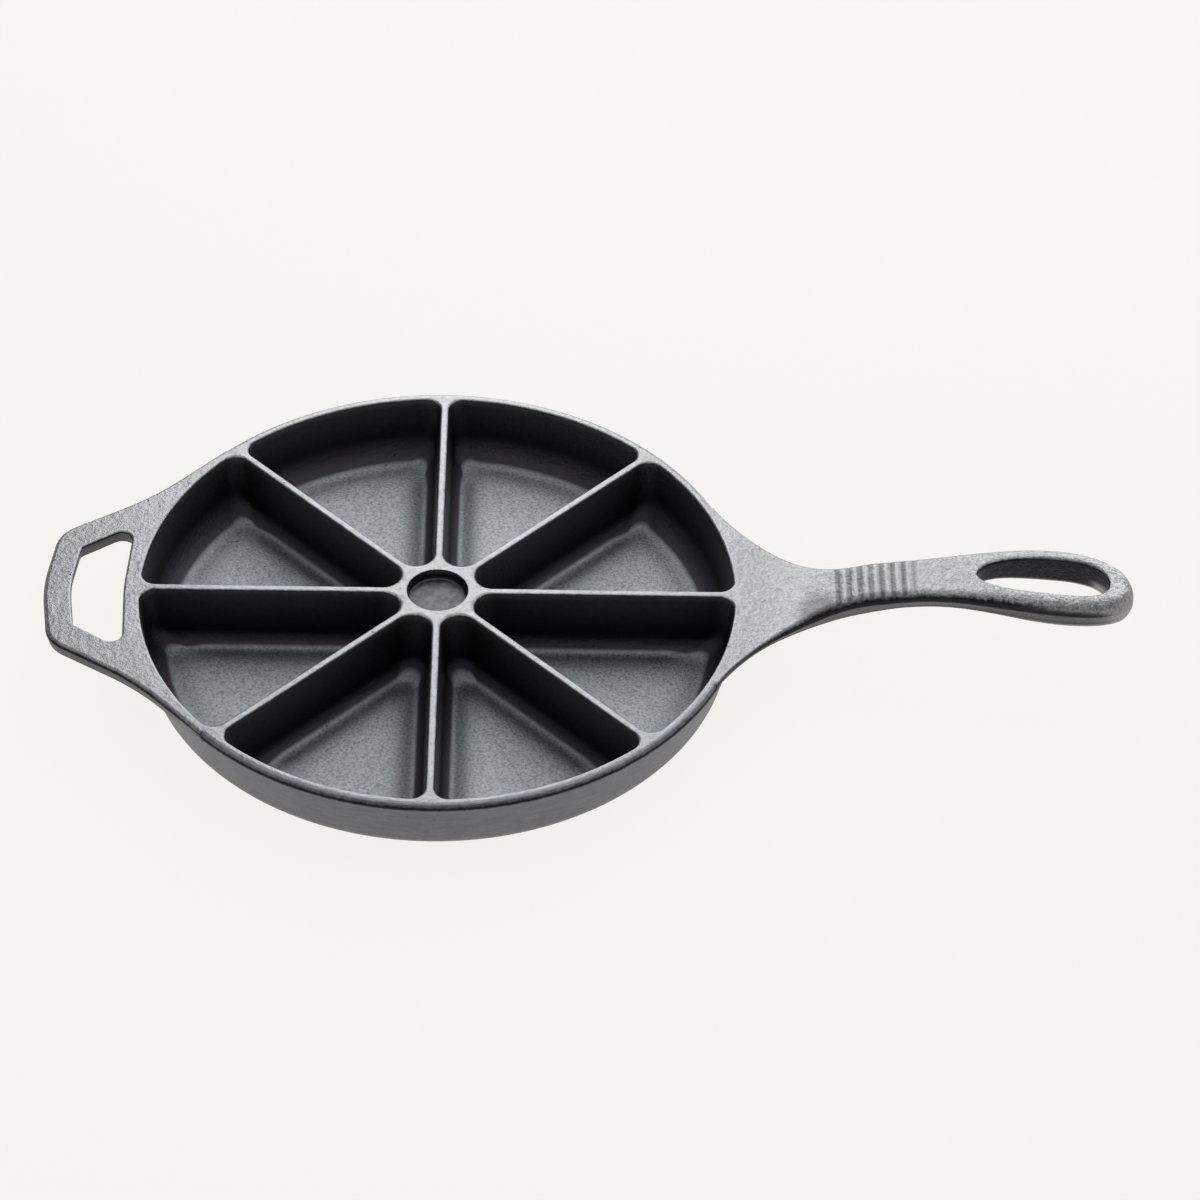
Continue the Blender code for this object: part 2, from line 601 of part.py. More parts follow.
def finish(piece):
    """Give a piece its iron and its shading."""
    iron = bpy.data.materials.new(f"iron_{piece.name}")
    iron.use_nodes = True
    surface = iron.node_tree.nodes["Principled BSDF"]
    surface.inputs["Base Color"].default_value = IRON_COLOUR
    surface.inputs["Roughness"].default_value = IRON_ROUGHNESS
    surface.inputs["Metallic"].default_value = IRON_METALLIC
    piece.data.materials.clear()
    piece.data.materials.append(iron)
    piece.data.shade_smooth()
    piece.data.set_sharp_from_angle(angle=math.radians(35))


for old in list(bpy.data.objects):
    bpy.data.objects.remove(old, do_unlink=True)
for made in parted(whole_casting()):
    finish(made)
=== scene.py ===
import math

import bpy
from mathutils import Matrix, Vector


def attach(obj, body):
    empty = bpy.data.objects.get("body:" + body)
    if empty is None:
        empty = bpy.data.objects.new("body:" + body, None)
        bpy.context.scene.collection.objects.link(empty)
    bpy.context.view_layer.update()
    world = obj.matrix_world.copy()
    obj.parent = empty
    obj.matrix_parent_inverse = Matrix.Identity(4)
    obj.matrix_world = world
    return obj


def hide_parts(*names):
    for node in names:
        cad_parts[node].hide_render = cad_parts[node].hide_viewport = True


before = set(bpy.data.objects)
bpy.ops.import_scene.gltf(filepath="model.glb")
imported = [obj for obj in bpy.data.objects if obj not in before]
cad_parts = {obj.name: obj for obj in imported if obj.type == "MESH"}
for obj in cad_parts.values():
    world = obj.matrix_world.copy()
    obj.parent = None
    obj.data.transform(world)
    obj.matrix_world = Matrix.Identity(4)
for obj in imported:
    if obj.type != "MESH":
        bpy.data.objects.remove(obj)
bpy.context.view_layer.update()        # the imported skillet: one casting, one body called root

print("packed skillet loaded,", len(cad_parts), "solids")


def smooth(t):
    # ramp from 0 to 1 that starts and ends level
    t = min(max(t, 0.0), 1.0)
    return t * t * (3.0 - 2.0 * t)


def arcPoints(centre, radius, start, end, steps):
    points = []
    for step in range(steps + 1):
        angle = start + (end - start) * step / steps
        points.append((centre[0] + radius * math.cos(angle), centre[1] + radius * math.sin(angle)))
    return points


def bezierPoints(corners, steps):
    points = []
    for step in range(steps + 1):
        t = step / steps
        weights = ((1 - t) ** 3, 3 * t * (1 - t) ** 2, 3 * t * t * (1 - t), t ** 3)
        points.append(tuple(sum(w * c[axis] for w, c in zip(weights, corners)) for axis in (0, 1)))
    return points


def linePoints(start, end, steps):
    # inner points of a straight stretch, closer together near its two ends
    points = []
    for step in range(1, steps):
        share = (1 - math.cos(math.pi * step / steps)) / 2
        points.append(tuple(a + (b - a) * share for a, b in zip(start, end)))
    return points


def bendPoints(before, corner, after, steps):
    # arc that rounds one (x, y, radius) corner between its two neighbours
    x, y, radius = corner
    back = math.atan2(before[1] - y, before[0] - x)
    ahead = math.atan2(after[1] - y, after[0] - x)
    turn = (ahead - back + math.pi) % (2 * math.pi) - math.pi
    half = abs(turn) / 2
    away = radius / math.sin(half)
    centre = (x + away * math.cos(back + turn / 2), y + away * math.sin(back + turn / 2))
    along = radius / math.tan(half)
    first = math.atan2(y + along * math.sin(back) - centre[1], x + along * math.cos(back) - centre[0])
    return arcPoints(centre, radius, first, first + math.copysign(math.pi - abs(turn), -turn), steps)


# steps of each straight stretch between two bends
straightSteps = 6


def openPath(corners, steps):
    bends = [bendPoints(*three, steps) for three in zip(corners, corners[1:], corners[2:])]
    path = [corners[0][:2]]
    for bend, following in zip(bends, bends[1:]):
        path += bend + linePoints(bend[-1], following[0], straightSteps)
    return path + bends[-1] + [corners[-1][:2]]


def closedPath(corners, steps):
    around = corners[-1:] + corners + corners[:1]
    bends = [bendPoints(*three, steps) for three in zip(around, around[1:], around[2:])]
    path = []
    for bend, following in zip(bends, bends[1:] + bends[:1]):
        path += bend + linePoints(bend[-1], following[0], straightSteps)
    return path


def widened(outline, distance):
    # closed counter-clockwise outline with each point moved out along its normal
    moved = []
    for index, (x, y) in enumerate(outline):
        before = outline[index - 1]
        after = outline[(index + 1) % len(outline)]
        run = Vector((after[0] - before[0], after[1] - before[1])).normalized()
        moved.append((x + run.y * distance, y - run.x * distance))
    return moved


def counterClockwise(outline):
    area = sum(a[0] * b[1] - b[0] * a[1] for a, b in zip(outline, outline[1:] + outline[:1]))
    return outline if area > 0 else outline[::-1]


def only(thing):
    bpy.ops.object.select_all(action="DESELECT")
    thing.select_set(True)
    bpy.context.view_layer.objects.active = thing


# points closer together than this become one
mergeDistance = 1e-6


def skin(name, rings):
    # closed solid through rings of points: a grid set on the rings, its seam merged and its ends filled
    count = len(rings[0])
    bpy.ops.object.select_all(action="DESELECT")
    bpy.ops.mesh.primitive_grid_add(x_subdivisions=count, y_subdivisions=len(rings) - 1, size=1.0)
    made = bpy.context.active_object
    made.name = name
    places = [value for ring in rings for point in (*ring, ring[0]) for value in point]
    made.data.vertices.foreach_set("co", places)
    bpy.ops.object.mode_set(mode="EDIT")
    bpy.ops.mesh.select_all(action="SELECT")
    bpy.ops.mesh.remove_doubles(threshold=mergeDistance)
    bpy.ops.mesh.fill_holes(sides=0)
    bpy.ops.mesh.normals_make_consistent(inside=False)
    bpy.ops.object.mode_set(mode="OBJECT")
    return made


def drawUp(profile, extrude):
    # the selected circle is extruded from each (radius, height) of a profile to the next
    for (radius, height), (nextRadius, nextHeight) in zip(profile, profile[1:]):
        extrude(TRANSFORM_OT_translate={"value": (0, 0, nextHeight - height)})
        growth = nextRadius / radius
        bpy.ops.transform.resize(value=(growth, growth, 1), center_override=(0, 0, 0))


def combine(target, tool, operation):
    # the tool is used up
    only(target)
    cut = target.modifiers.new("Combine", "BOOLEAN")
    cut.operation = operation
    cut.solver = "EXACT"
    cut.object = tool
    bpy.ops.object.modifier_apply(modifier=cut.name)
    bpy.data.objects.remove(tool, do_unlink=True)


def duplicateOf(source, name):
    only(source)
    bpy.ops.object.duplicate()
    copy = bpy.context.active_object
    copy.name = name
    return copy


# the pan before its pockets are sunk: a filled circle, raised and widened step by step
pan = {
    "height": 0.0290, "floor": 0.0040, "rimRadius": 0.1220, "lipHeight": 0.0034, "lipOverhang": 0.0016,
    "lipRounding": 0.0026, "lipFillet": 0.0008, "lipLowerRounding": 0.0005, "baseRounding": 0.0080,
    "wallDraft": math.radians(12.5), "turnSteps": 288, "baseSteps": 14, "wallSteps": 8, "lipSteps": 8,
    "filletSteps": 4,
}


def panProfile():
    # (radius, height) from the rounded base up the wall, under the lip and round it
    lipBottom = pan["height"] - pan["lipHeight"]
    wallTop = pan["rimRadius"] - pan["lipOverhang"]
    baseRadius = wallTop - lipBottom * math.tan(pan["wallDraft"])
    rounding = pan["baseRounding"]
    tangent = rounding * math.tan((math.pi / 2 - pan["wallDraft"]) / 2)
    centre = (baseRadius - tangent, rounding)
    profile = arcPoints(centre, rounding, -math.pi / 2, -pan["wallDraft"], pan["baseSteps"])
    fillet = pan["lipFillet"]
    underLip = lipBottom - fillet
    wallEnd = (wallTop - fillet * math.tan(pan["wallDraft"]), underLip)
    profile += linePoints(profile[-1], wallEnd, pan["wallSteps"])
    profile += arcPoints((wallTop + fillet, underLip), fillet, math.pi, math.pi / 2, pan["filletSteps"])
    edge = pan["rimRadius"]
    lower = pan["lipLowerRounding"]
    profile += arcPoints((edge - lower, lipBottom + lower), lower, -math.pi / 2, 0.0, pan["filletSteps"])
    upper = pan["lipRounding"]
    profile += arcPoints((edge - upper, pan["height"] - upper), upper, 0.0, math.pi / 2, pan["lipSteps"])
    return profile


def panBlank():
    profile = panProfile()
    bpy.ops.object.select_all(action="DESELECT")
    bpy.ops.mesh.primitive_circle_add(vertices=pan["turnSteps"], radius=profile[0][0], fill_type="NGON")
    blank = bpy.context.active_object
    blank.name = "pan_blank"
    bpy.ops.object.mode_set(mode="EDIT")
    bpy.ops.mesh.select_all(action="SELECT")
    drawUp(profile, bpy.ops.mesh.extrude_region_move)
    bpy.ops.mesh.select_all(action="SELECT")
    bpy.ops.mesh.normals_make_consistent(inside=False)
    bpy.ops.object.mode_set(mode="OBJECT")
    return blank


# how far every cutter stands out past the surface that it cuts
cutterClear = 0.0050

# the eight pockets
pockets = {
    "count": 8, "rimFace": 0.0043, "dividerTop": 0.0034, "dividerDraft": math.radians(5),
    "dividerFoot": 0.0070, "wallDraft": math.radians(9), "wallFoot": 0.0120, "nose": 0.0075,
    "noseFloor": 0.0040, "corner": 0.0060, "topRounding": 0.0010, "moatDepth": 0.00075,
    "moatWidth": 0.0120, "noseSteps": 24, "sideSteps": 12, "cornerSteps": 14, "edgeSteps": 36,
    "moatSteps": 10, "footSteps": 16, "wallSteps": 4, "topSteps": 6,
}
pocketHalfAngle = math.pi / pockets["count"]
pocketDepth = pan["height"] - pan["floor"]
pocketRadius = pan["rimRadius"] - pockets["rimFace"]
halfDivider = pockets["dividerTop"] / 2


def footInset(height, draft, footRadius):
    # how far a drafted wall with a rounded foot has come in at this height over the pocket floor
    rounded = footRadius * (1 - math.sin(draft))
    if height >= rounded:
        return (pocketDepth - height) * math.tan(draft)
    straight = (pocketDepth - rounded) * math.tan(draft)
    below = footRadius - height
    return straight + footRadius * math.cos(draft) - math.sqrt(max(footRadius ** 2 - below ** 2, 0.0))


def footReach():
    return halfDivider + footInset(0.0, pockets["dividerDraft"], pockets["dividerFoot"])


def noseCentre(sideOffset, nose):
    return (sideOffset + nose) / math.sin(pocketHalfAngle)


def pocketOutline(sideOffset, outerRadius):
    # one pocket about +X: a round nose, two straight sides and an arc with round corners
    grown = min((sideOffset - halfDivider) / (footReach() - halfDivider), 1.0)
    nose = pockets["nose"] + (pockets["noseFloor"] - pockets["nose"]) * grown
    away = math.pi / 2 + pocketHalfAngle
    centre = (noseCentre(sideOffset, nose), 0.0)
    tip = arcPoints(centre, nose, 2 * math.pi - away, away, pockets["noseSteps"])
    corner = pockets["corner"]
    reach = outerRadius - corner
    angle = pocketHalfAngle - math.asin((sideOffset + corner) / reach)
    x, y = reach * math.cos(angle), reach * math.sin(angle)
    upper = arcPoints((x, y), corner, away, angle, pockets["cornerSteps"])
    edge = arcPoints((0.0, 0.0), outerRadius, angle, -angle, pockets["edgeSteps"])[1:-1]
    lower = arcPoints((x, -y), corner, -angle, -away, pockets["cornerSteps"])
    sideOne = linePoints(tip[-1], upper[0], pockets["sideSteps"])
    sideTwo = linePoints(lower[-1], tip[0], pockets["sideSteps"])
    return tip + sideOne + upper + edge + lower + sideTwo


def moatDrop(inside):
    # the floor falls off towards the feet of the walls
    return pockets["moatDepth"] * (1 - inside / pockets["moatWidth"]) ** 2


def pocketCutter(angle):
    # rings from the middle of the floor out to the feet, up the walls and over their round tops
    footEnd = math.pi / 2 - pockets["wallDraft"]
    turns = [footEnd * step / pockets["footSteps"] for step in range(pockets["footSteps"] + 1)]
    levels = [pockets["wallFoot"] * (1 - math.cos(turn)) for turn in turns]
    rounding = pockets["topRounding"]
    top = pocketDepth - rounding
    steps = pockets["wallSteps"]
    levels += [levels[-1] + (top - levels[-1]) * step / steps for step in range(1, steps + 1)]
    walls = []
    for height in levels:
        side = halfDivider + footInset(height, pockets["dividerDraft"], pockets["dividerFoot"])
        outer = pocketRadius - footInset(height, pockets["wallDraft"], pockets["wallFoot"])
        walls.append((side, outer, pan["floor"] + height - moatDrop(0.0) * (1 - height / top)))
    rings = []
    for step in range(pockets["moatSteps"], 0, -1):
        inside = pockets["moatWidth"] * step / pockets["moatSteps"]
        rings.append((walls[0][0] + inside, walls[0][1] - inside, pan["floor"] - moatDrop(inside)))
    rings += walls
    for step in range(1, pockets["topSteps"] + 1):
        turn = math.pi / 2 * step / pockets["topSteps"]
        widening = rounding * (1 - math.cos(turn))
        rise = pan["height"] - rounding * (1 - math.sin(turn))
        rings.append((halfDivider - widening, pocketRadius + widening, rise))
    rings.append((halfDivider - rounding, pocketRadius + rounding, pan["height"] + cutterClear))
    spin = Matrix.Rotation(angle, 3, "Z")
    return skin(
        "pocket_cutter",
        [[spin @ Vector((x, y, z)) for x, y in pocketOutline(side, outer)] for side, outer, z in rings],
    )


# the round recess in the hub
hubRecess = {
    "ring": 0.0045, "depth": 0.0042, "draft": math.radians(6), "rounding": 0.0004, "foot": 0.0009,
    "turnSteps": 96, "footSteps": 5, "roundingSteps": 4,
}


def recessCutter():
    radius = noseCentre(halfDivider, pockets["nose"]) - pockets["nose"] - hubRecess["ring"]
    depth = hubRecess["depth"]
    foot = hubRecess["foot"]
    rounding = hubRecess["rounding"]
    floorRadius = radius - depth * math.tan(hubRecess["draft"])
    profile = []
    for step in range(hubRecess["footSteps"] + 1):
        turn = math.pi / 2 * step / hubRecess["footSteps"]
        profile.append((floorRadius - foot * (1 - math.sin(turn)), -depth + foot * (1 - math.cos(turn))))
    for step in range(hubRecess["roundingSteps"] + 1):
        turn = math.pi / 2 * step / hubRecess["roundingSteps"]
        profile.append((radius + rounding * (1 - math.cos(turn)), -rounding * (1 - math.sin(turn))))
    profile.append((radius + rounding, cutterClear))
    rings = []
    for ringRadius, overRim in profile:
        ring = arcPoints((0.0, 0.0), ringRadius, 0.0, 2 * math.pi, hubRecess["turnSteps"])[:-1]
        rings.append([(x, y, pan["height"] + overRim) for x, y in ring])
    return skin("recess_cutter", rings)


# the long handle: flare, grooved neck and the swelling end with its teardrop hole
longHandle = {
    "flareAngle": math.radians(25.5), "flareLength": 0.0440, "flareRimPull": 0.0040,
    "flareNeckPull": 0.0280, "rootDepth": 0.0026, "rimEdge": 0.0036, "spineWidth": 0.0440,
    "neckWidth": 0.0228, "neckLength": 0.0190, "neckThickness": 0.0104, "neckRounding": 0.0042,
    "neckLowerRounding": 0.0012, "gripThickness": 0.0088, "sideDraft": math.radians(12),
    "loopLength": 0.0906, "loopWidth": 0.0358, "loopThickness": 0.0138, "loopRounding": 0.0056,
    "loopLowerRounding": 0.0048, "loopDraft": math.radians(5), "swellDelay": 0.0100,
    "tipLength": 0.0296, "tipBluntness": 2.2, "tipFlat": 0.0001, "tipDrop": 0.0058,
    "rise": 0.0133, "riseStart": 0.0020, "riseLength": 0.0990, "riseEase": 1.8, "riseOnset": 0.5,
    "grooves": 8, "groovePitch": 0.00431, "grooveDepth": 0.00034, "grooveBeforeNeck": 0.0077,
    "holeLength": 0.0524, "holeEndWall": 0.0100, "holeSideWall": 0.0077, "holeEndBluntness": 10,
    "holeNeckBluntness": 4, "holeRounding": 0.0015, "holeLowerRounding": 0.0025, "holeOpening": 0.0006,
    "mostRoundedHeight": 0.45, "mostRoundedWidth": 0.9, "leastUnderside": 0.5,
    "topPlaces": (-0.9, -0.7, -0.35, 0.0, 0.35, 0.7, 0.9), "flareSteps": 64, "upperSteps": 12,
    "lowerSteps": 8, "undersideSteps": 20, "gripSteps": 130, "loopSteps": 40, "tipSteps": 36,
    "holeSteps": 48,
}
neckStart = pan["rimRadius"] + longHandle["flareLength"]
loopStart = neckStart + longHandle["neckLength"]
handleTip = loopStart + longHandle["loopLength"]
widestLoop = handleTip - longHandle["tipLength"]
riseStart = pan["rimRadius"] + longHandle["riseStart"]
riseTop = riseStart + longHandle["riseLength"]
firstGroove = neckStart - longHandle["grooveBeforeNeck"]


def flareCurve():
    angle = longHandle["flareAngle"]
    pull = longHandle["flareRimPull"]
    rim = (pan["rimRadius"] * math.cos(angle), pan["rimRadius"] * math.sin(angle))
    alongRim = (rim[0] + pull, rim[1] - pull / math.tan(angle))
    beforeNeck = (neckStart - longHandle["flareNeckPull"], longHandle["neckWidth"] / 2)
    neck = (neckStart, longHandle["neckWidth"] / 2)
    return bezierPoints((rim, alongRim, beforeNeck, neck), longHandle["flareSteps"])


flareStations = flareCurve()


def handleHalfWidth(x):
    if x >= widestLoop:
        share = min((x - widestLoop) / longHandle["tipLength"], 1.0)
        blunt = longHandle["tipBluntness"]
        return longHandle["loopWidth"] / 2 * (1 - share ** blunt) ** (1 / blunt)
    for (xLow, halfLow), (xHigh, halfHigh) in zip(flareStations, flareStations[1:]):
        if xLow <= x < xHigh:
            return halfLow + (halfHigh - halfLow) * (x - xLow) / (xHigh - xLow)
    growth = smooth((x - loopStart) / (widestLoop - loopStart))
    return longHandle["neckWidth"] / 2 + (longHandle["loopWidth"] - longHandle["neckWidth"]) / 2 * growth


def handleRise(x):
    # height of the handle's top over the rim
    if x > riseTop:
        return longHandle["rise"] - longHandle["tipDrop"] * ((x - riseTop) / (handleTip - riseTop)) ** 2
    share = max((x - riseStart) / longHandle["riseLength"], 0.0)
    eased = 1 - (1 - share) ** longHandle["riseEase"]
    return longHandle["rise"] * eased * smooth(share / longHandle["riseOnset"])


def grooveDepth(x):
    # a soft ripple, level again outside its first and last trough
    turns = (x - firstGroove) / longHandle["groovePitch"]
    if not -0.5 < turns < longHandle["grooves"] - 0.5:
        return 0.0
    return longHandle["grooveDepth"] * (1 + math.cos(2 * math.pi * turns)) / 2


def flareShare(x):
    return smooth((x - pan["rimRadius"]) / longHandle["flareLength"])


def edgeThickness(x):
    edge = longHandle["rimEdge"] + (longHandle["neckThickness"] - longHandle["rimEdge"]) * flareShare(x)
    slimmer = longHandle["neckThickness"] - longHandle["gripThickness"]
    edge -= slimmer * smooth((x - neckStart) / longHandle["neckLength"])
    swellStart = loopStart + longHandle["swellDelay"]
    swell = longHandle["loopThickness"] - longHandle["gripThickness"]
    return edge + swell * smooth((x - swellStart) / (widestLoop - swellStart))


def blended(x, atRim, atNeck, atLoop):
    value = atRim + (atNeck - atRim) * flareShare(x)
    return value + (atLoop - atNeck) * smooth((x - loopStart) / (widestLoop - loopStart))


def handleTopAt(x):
    return pan["height"] + handleRise(x)


def handleBottomAt(x):
    return handleTopAt(x) - edgeThickness(x)


def handleSection(x, halfWidth):
    # flat top, round edges, drafted sides and an underside with a low spine near the pan
    neckLower = longHandle["neckLowerRounding"]
    upper = blended(x, pan["lipRounding"], longHandle["neckRounding"], longHandle["loopRounding"])
    lower = blended(x, neckLower, neckLower, longHandle["loopLowerRounding"])
    draft = blended(x, longHandle["sideDraft"], longHandle["sideDraft"], longHandle["loopDraft"])
    tipShare = max((x - handleTip + upper) / upper, 0.0)
    tipCut = upper * (1 - math.sqrt(max(1 - tipShare ** 2, 0.0)))
    top = handleTopAt(x) - tipCut
    bottom = handleBottomAt(x) + tipCut
    thickness = top - bottom
    upper = min(
        upper, longHandle["mostRoundedHeight"] * thickness, longHandle["mostRoundedWidth"] * halfWidth,
    )
    lower = min(lower, upper)
    flat = halfWidth - upper
    lowFlat = max(halfWidth - lower - thickness * math.tan(draft), longHandle["leastUnderside"] * flat)
    spine = (longHandle["neckThickness"] - longHandle["rimEdge"]) * (1 - flareShare(x))
    groove = grooveDepth(x)
    rippled = []
    for y, z in arcPoints((flat, top - upper), upper, math.pi / 2, 0.0, longHandle["upperSteps"]):
        # the grooves run out down the round edge
        level = (z - top + upper) / upper
        rippled.append((y, z - groove * level * level))
    points = [(place * flat, top - groove) for place in longHandle["topPlaces"]] + rippled
    steps = longHandle["lowerSteps"]
    points += arcPoints((lowFlat, bottom + lower), lower, 0.0, -math.pi / 2, steps)
    for step in range(1, longHandle["undersideSteps"]):
        y = lowFlat * (1 - 2 * step / longHandle["undersideSteps"])
        points.append((y, bottom - spine * smooth(1 - 2 * abs(y) / longHandle["spineWidth"])))
    points += arcPoints((-lowFlat, bottom + lower), lower, -math.pi / 2, -math.pi, steps)
    points += [(-y, z) for y, z in reversed(rippled)]
    return [(x, y, z) for y, z in points]


def longHandleBlank():
    # sections from inside the rim along the flare, the grip and the loop, closest together at the tip
    angle = longHandle["flareAngle"]
    root = pan["rimRadius"] - longHandle["rootDepth"]
    flareEnd = firstGroove - longHandle["groovePitch"] / 2
    stations = [(root * math.cos(angle), root * math.sin(angle))]
    stations += [place for place in flareStations if place[0] < flareEnd]
    start = stations[-1][0]
    gripEnd = firstGroove + longHandle["grooves"] * longHandle["groovePitch"]
    steps = longHandle["gripSteps"]
    places = [start + (gripEnd - start) * step / steps for step in range(1, steps + 1)]
    steps = longHandle["loopSteps"]
    places += [gripEnd + (widestLoop - gripEnd) * step / steps for step in range(1, steps + 1)]
    tipReach = longHandle["tipLength"] - longHandle["tipFlat"]
    steps = longHandle["tipSteps"]
    turns = [math.pi / 2 * step / steps for step in range(1, steps + 1)]
    places += [widestLoop + tipReach * math.sin(turn) for turn in turns]
    stations += [(x, handleHalfWidth(x)) for x in places]
    return skin("long_handle_blank", [handleSection(x, half) for x, half in stations])


def hangHoleOutline():
    # a teardrop that keeps its distance from the loop's sides and closes at both ends
    high = handleTip - longHandle["holeEndWall"]
    low = high - longHandle["holeLength"]
    steps = longHandle["holeSteps"]
    side = []
    for step in range(steps + 1):
        x = (high + low) / 2 - (high - low) / 2 * math.cos(math.pi * step / steps)
        share = 2 * (x - low) / (high - low) - 1
        blunt = longHandle["holeEndBluntness"] if share > 0 else longHandle["holeNeckBluntness"]
        closing = math.sqrt(max(1 - share ** blunt, 0.0))
        side.append((x, (handleHalfWidth(x) - longHandle["holeSideWall"]) * closing))
    return counterClockwise(side + [(x, -y) for x, y in reversed(side[1:-1])])


# steps of the rounding along a hole's edges
holeEdgeSteps = 6


def roundedHoleCutter(name, outline, handle, topAt, bottomAt):
    # both ends of the cutter flare out, so that the hole's edges come out round; it is wider below
    rounding = handle["holeRounding"]
    lower = handle["holeLowerRounding"]
    opening = handle["holeOpening"]
    rings = [[(x, y, bottomAt(x) - cutterClear) for x, y in widened(outline, opening + lower)]]
    for step in range(holeEdgeSteps + 1):
        turn = math.pi / 2 * (1 - step / holeEdgeSteps)
        ring = widened(outline, opening + lower * (1 - math.cos(turn)))
        rings.append([(x, y, bottomAt(x) + lower * (1 - math.sin(turn))) for x, y in ring])
    for step in range(holeEdgeSteps + 1):
        turn = math.pi / 2 * step / holeEdgeSteps
        ring = widened(outline, rounding * (1 - math.cos(turn)))
        rings.append([(x, y, topAt(x) - rounding * (1 - math.sin(turn))) for x, y in ring])
    rings.append([(x, y, topAt(x) + cutterClear) for x, y in widened(outline, rounding)])
    return skin(name, rings)


# the helper handle opposite, a plate that thickens towards its grip bar
helper = {
    "rootAngle": math.radians(43.3), "reach": 0.0342, "bendInset": 0.0055, "bendHalfWidth": 0.0543,
    "bendRadius": 0.1150, "cornerSetback": 0.0040, "cornerHalfWidth": 0.0316, "cornerRadius": 0.0150,
    "bowRadius": 0.0800, "thickness": 0.0063, "rootThickness": 0.0058, "swellInsideRim": 0.0170,
    "swellLength": 0.0350, "edgeRounding": 0.0018, "lowerRounding": 0.0008, "sideDraft": math.radians(11),
    "barWidth": 0.0110, "holeHalfWidth": 0.0226, "holeRootHalfWidth": 0.0364, "holeRootWall": 0.0003,
    "holeBow": 0.0019, "holeBowRadius": 0.1000, "holeCorner": 0.0026, "holeRootCorner": 0.0044,
    "holeRounding": 0.0010, "holeLowerRounding": 0.0005, "holeOpening": 0.0009, "rootDepth": 0.0060,
    "bendSteps": 16, "rootSteps": 48, "edgeSteps": 6,
}


def helperTopAt(x):
    # level with the rim all the way
    return pan["height"]


def helperBottomAt(x):
    thin = -pan["rimRadius"] + helper["swellInsideRim"]
    deeper = (helper["thickness"] - helper["rootThickness"]) * smooth((thin - x) / helper["swellLength"])
    return pan["height"] - helper["rootThickness"] - deeper


def helperOutline():
    angle = helper["rootAngle"]
    rim = pan["rimRadius"]
    root = (-rim * math.cos(angle), rim * math.sin(angle), 0.0)
    bend = (-rim + helper["bendInset"], helper["bendHalfWidth"], helper["bendRadius"])
    end = -rim - helper["reach"]
    corner = (end + helper["cornerSetback"], helper["cornerHalfWidth"], helper["cornerRadius"])
    bow = (end, 0.0, helper["bowRadius"])
    mirrored = [(x, -y, radius) for x, y, radius in (corner, bend, root)]
    outline = openPath([root, bend, corner, bow] + mirrored, helper["bendSteps"])
    inside = rim - helper["rootDepth"]
    outline += arcPoints((0.0, 0.0), inside, math.pi + angle, math.pi - angle, helper["rootSteps"])
    return counterClockwise(outline)


def helperBlank():
    outline = helperOutline()
    rounding = helper["edgeRounding"]
    lower = helper["lowerRounding"]
    drawnIn = (helper["thickness"] - rounding) * math.tan(helper["sideDraft"])
    steps = helper["edgeSteps"]
    rings = []
    for step in range(steps + 1):
        turn = math.pi / 2 * (1 - step / steps)
        ring = widened(outline, -drawnIn - lower * (1 - math.cos(turn)))
        rings.append([(x, y, helperBottomAt(x) + lower * (1 - math.sin(turn))) for x, y in ring])
    for step in range(steps + 1):
        turn = math.pi / 2 * step / steps
        ring = widened(outline, -rounding * (1 - math.cos(turn)))
        rings.append([(x, y, helperTopAt(x) - rounding * (1 - math.sin(turn))) for x, y in ring])
    return skin("helper_blank", rings)


def helperHoleOutline():
    far = -pan["rimRadius"] - helper["reach"] + helper["barWidth"]
    near = -pan["rimRadius"] - helper["holeRootWall"]
    corner = far + helper["cornerSetback"] * helper["holeHalfWidth"] / helper["cornerHalfWidth"]
    corners = [
        (far, 0.0, helper["bowRadius"]),
        (corner, helper["holeHalfWidth"], helper["holeCorner"]),
        (near, helper["holeRootHalfWidth"], helper["holeRootCorner"]),
        (near - helper["holeBow"], 0.0, helper["holeBowRadius"]),
        (near, -helper["holeRootHalfWidth"], helper["holeRootCorner"]),
        (corner, -helper["holeHalfWidth"], helper["holeCorner"]),
    ]
    return counterClockwise(closedPath(corners, helper["bendSteps"]))


def joined(tools):
    bpy.ops.object.select_all(action="DESELECT")
    for tool in tools:
        tool.select_set(True)
    bpy.context.view_layer.objects.active = tools[0]
    bpy.ops.object.join()
    return tools[0]


casting = panBlank()
combine(casting, longHandleBlank(), "UNION")
combine(casting, helperBlank(), "UNION")
print("blank cast,", len(casting.data.polygons), "faces")
tools = [pocketCutter((2 * index + 1) * pocketHalfAngle) for index in range(pockets["count"])]
tools += [
    recessCutter(),
    roundedHoleCutter("hang_hole_cutter", hangHoleOutline(), longHandle, handleTopAt, handleBottomAt),
    roundedHoleCutter("helper_hole_cutter", helperHoleOutline(), helper, helperTopAt, helperBottomAt),
]
combine(casting, joined(tools), "DIFFERENCE")
print("pockets and holes sunk,", len(casting.data.polygons), "faces")

# the casting is parted along the rim's outer face into the pan and its two handles
seam = {"outsideRim": 0.0005, "reach": 0.0600}
bpy.ops.object.select_all(action="DESELECT")
bpy.ops.mesh.primitive_cylinder_add(
    vertices=pan["turnSteps"], radius=pan["rimRadius"] + seam["outsideRim"], depth=2 * seam["reach"],
)
seamTool = bpy.context.active_object
skilletPan = duplicateOf(casting, "skillet_pan")
combine(skilletPan, duplicateOf(seamTool, "seam_tool"), "INTERSECT")
combine(casting, seamTool, "DIFFERENCE")
only(casting)
bpy.ops.object.mode_set(mode="EDIT")
bpy.ops.mesh.select_all(action="SELECT")
bpy.ops.mesh.separate(type="LOOSE")
bpy.ops.object.mode_set(mode="OBJECT")
